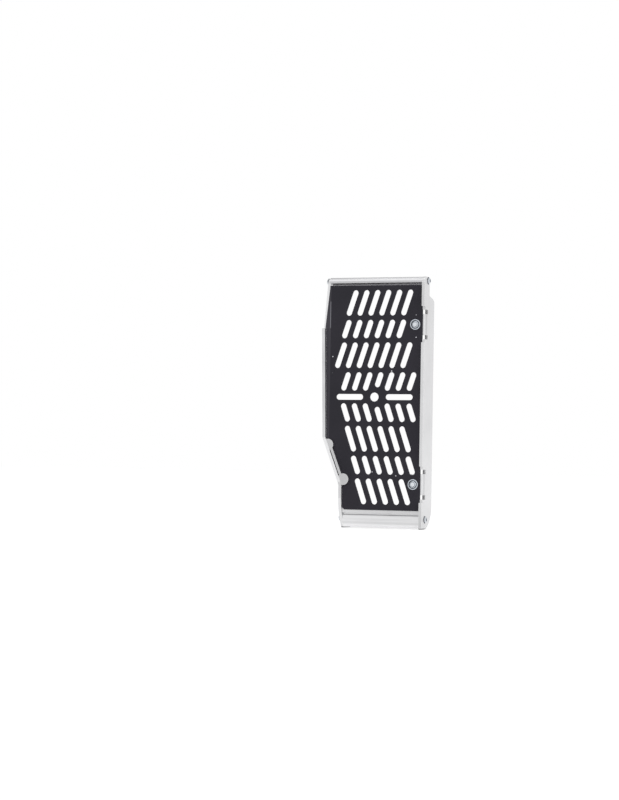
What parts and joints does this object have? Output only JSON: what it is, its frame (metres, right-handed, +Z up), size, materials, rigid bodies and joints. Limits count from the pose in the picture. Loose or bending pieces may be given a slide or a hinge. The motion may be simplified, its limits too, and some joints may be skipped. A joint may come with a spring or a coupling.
{
  "type": "motorcycle radiator guard",
  "caption": "Tall slotted grille for a motorcycle radiator, screwed into a frame of bent aluminium side plates and crossbars, tapered towards the foot.",
  "frame": {"origin": "bottom centre of the guard's bounding box, on the surface that the side plates stand on", "axes": "+X towards the outer side plate with the folded tabs, +Y from the slotted face back to the radiator, +Z up along the guard's height"},
  "size_m": [0.1106, 0.0334, 0.2515],
  "materials": {
    "anodised_black": "black anodised aluminium sheet, fine satin",
    "bare_aluminium": "bare aluminium, fine bead-blasted satin",
    "steel_screws": "polished stainless steel"
  },
  "bodies": {
    "root": {"front_grille": "anodised_black", "outer_side_plate": "bare_aluminium", "inner_side_plate": "bare_aluminium", "panel_retainer": "bare_aluminium", "top_crossbar": "bare_aluminium", "bottom_crossbar": "bare_aluminium", "grille_screws": "steel_screws", "tab_nuts": "steel_screws", "crossbar_screws": "steel_screws", "retainer_screws": "steel_screws"}
  },
  "joints": []
}
